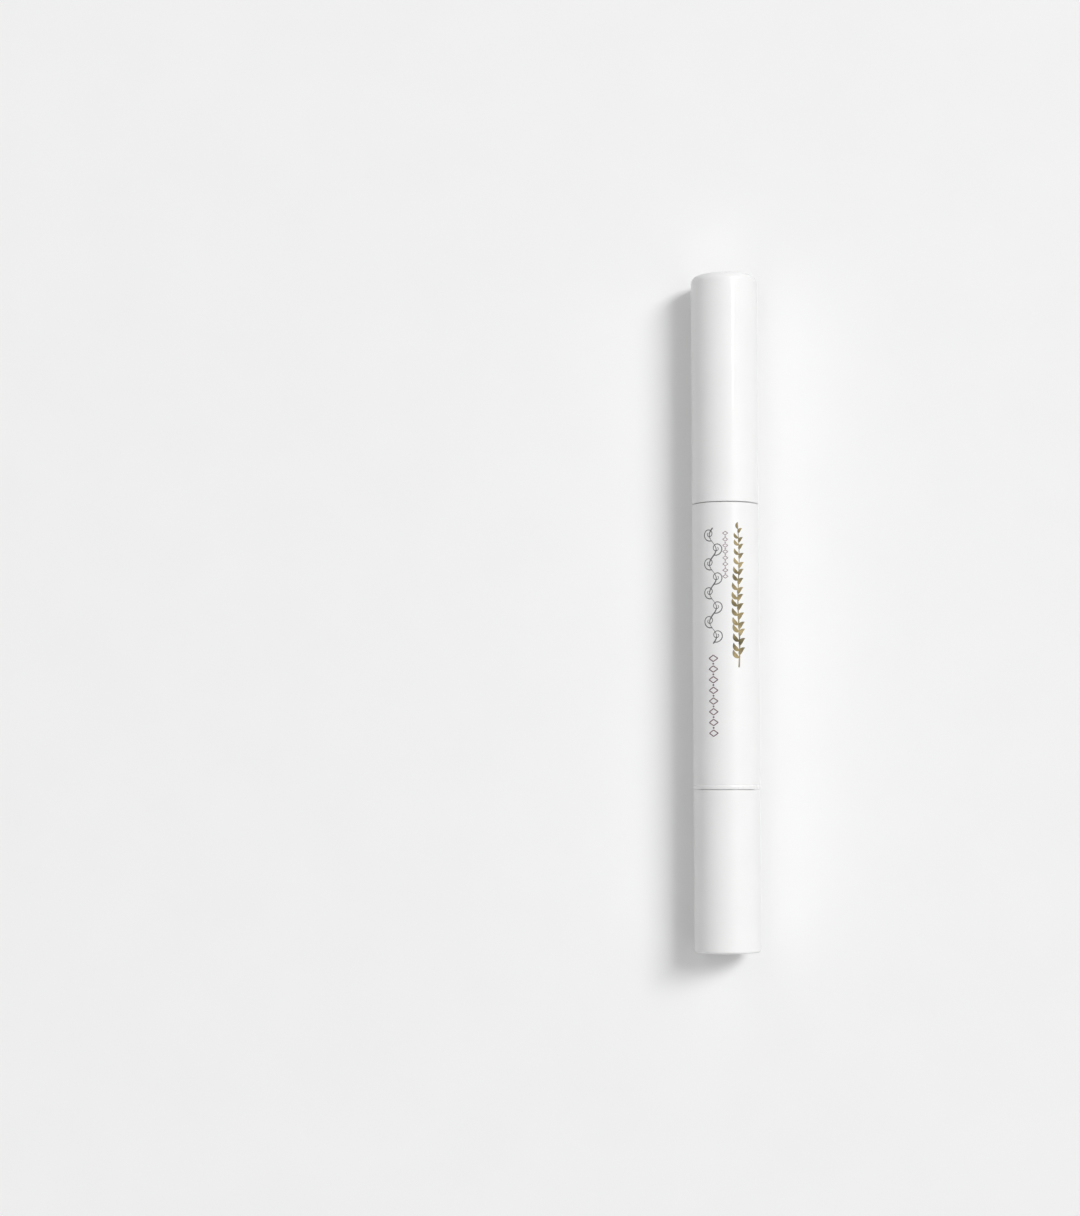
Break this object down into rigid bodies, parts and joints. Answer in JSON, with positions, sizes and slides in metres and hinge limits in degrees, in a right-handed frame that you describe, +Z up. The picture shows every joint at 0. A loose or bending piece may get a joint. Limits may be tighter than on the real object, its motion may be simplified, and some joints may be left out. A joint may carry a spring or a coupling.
{
  "type": "nail oil pen",
  "caption": "Slim twist pen for nail oil: brush under a pull-off cap, oil barrel, and a clicking knob that drives a piston through a lead screw.",
  "frame": {"origin": "on the table under the middle of the lying pen", "axes": "+Y along the pen from the knob towards the cap, +Z up from the table, +X across the pen"},
  "size_m": [0.0136, 0.138, 0.0136],
  "materials": {
    "gloss_shell": "polished gloss white moulding",
    "soft_natural": "natural polypropylene, slightly milky",
    "stiff_white": "white acetal, satin",
    "grey_spring": "grey acetal, satin",
    "dark_seal": "matte black rubber",
    "pale_seal": "pale soft polyethylene",
    "bristle": "fine translucent nylon"
  },
  "bodies": {
    "barrel": {"barrel_shell": "gloss_shell", "middle_ring": "gloss_shell", "nozzle": "soft_natural", "nozzle_seal": "dark_seal", "nozzle_core": "soft_natural", "feed_tube": "stiff_white", "brush_holder": "soft_natural", "brush_tuft": "bristle", "drive_nut": "grey_spring", "drive_housing": "soft_natural"},
    "cap": {"cap_shell": "gloss_shell", "inner_cap": "soft_natural"},
    "knob": {"knob_shell": "gloss_shell", "drive_sleeve": "stiff_white", "click_ring": "grey_spring", "retaining_ring": "grey_spring"},
    "screw": {"lead_screw": "stiff_white"},
    "piston": {"piston": "stiff_white", "piston_seal": "pale_seal"}
  },
  "joints": [
    {"name": "cap_pull", "type": "slide", "parent": "barrel", "child": "cap", "axis": [0, 1, 0], "range_m": [0, 0.05]},
    {"name": "knob_turn", "type": "hinge", "parent": "barrel", "child": "knob", "pos_m": [0, 0, 0.0068], "axis": [0, 1, 0], "range_deg": [0, 5040], "deforming": ["click_ring"]},
    {"name": "screw_advance", "type": "slide", "parent": "knob", "child": "screw", "axis": [0, 1, 0], "range_m": [0, 0.0315]},
    {"name": "piston_advance", "type": "slide", "parent": "barrel", "child": "piston", "axis": [0, 1, 0], "range_m": [0, 0.0315]}
  ],
  "couplings": [
    {"joint": "screw_advance", "follows": "knob_turn", "m_per_rad": 0.0003581},
    {"joint": "piston_advance", "follows": "knob_turn", "m_per_rad": 0.0003581}
  ]
}
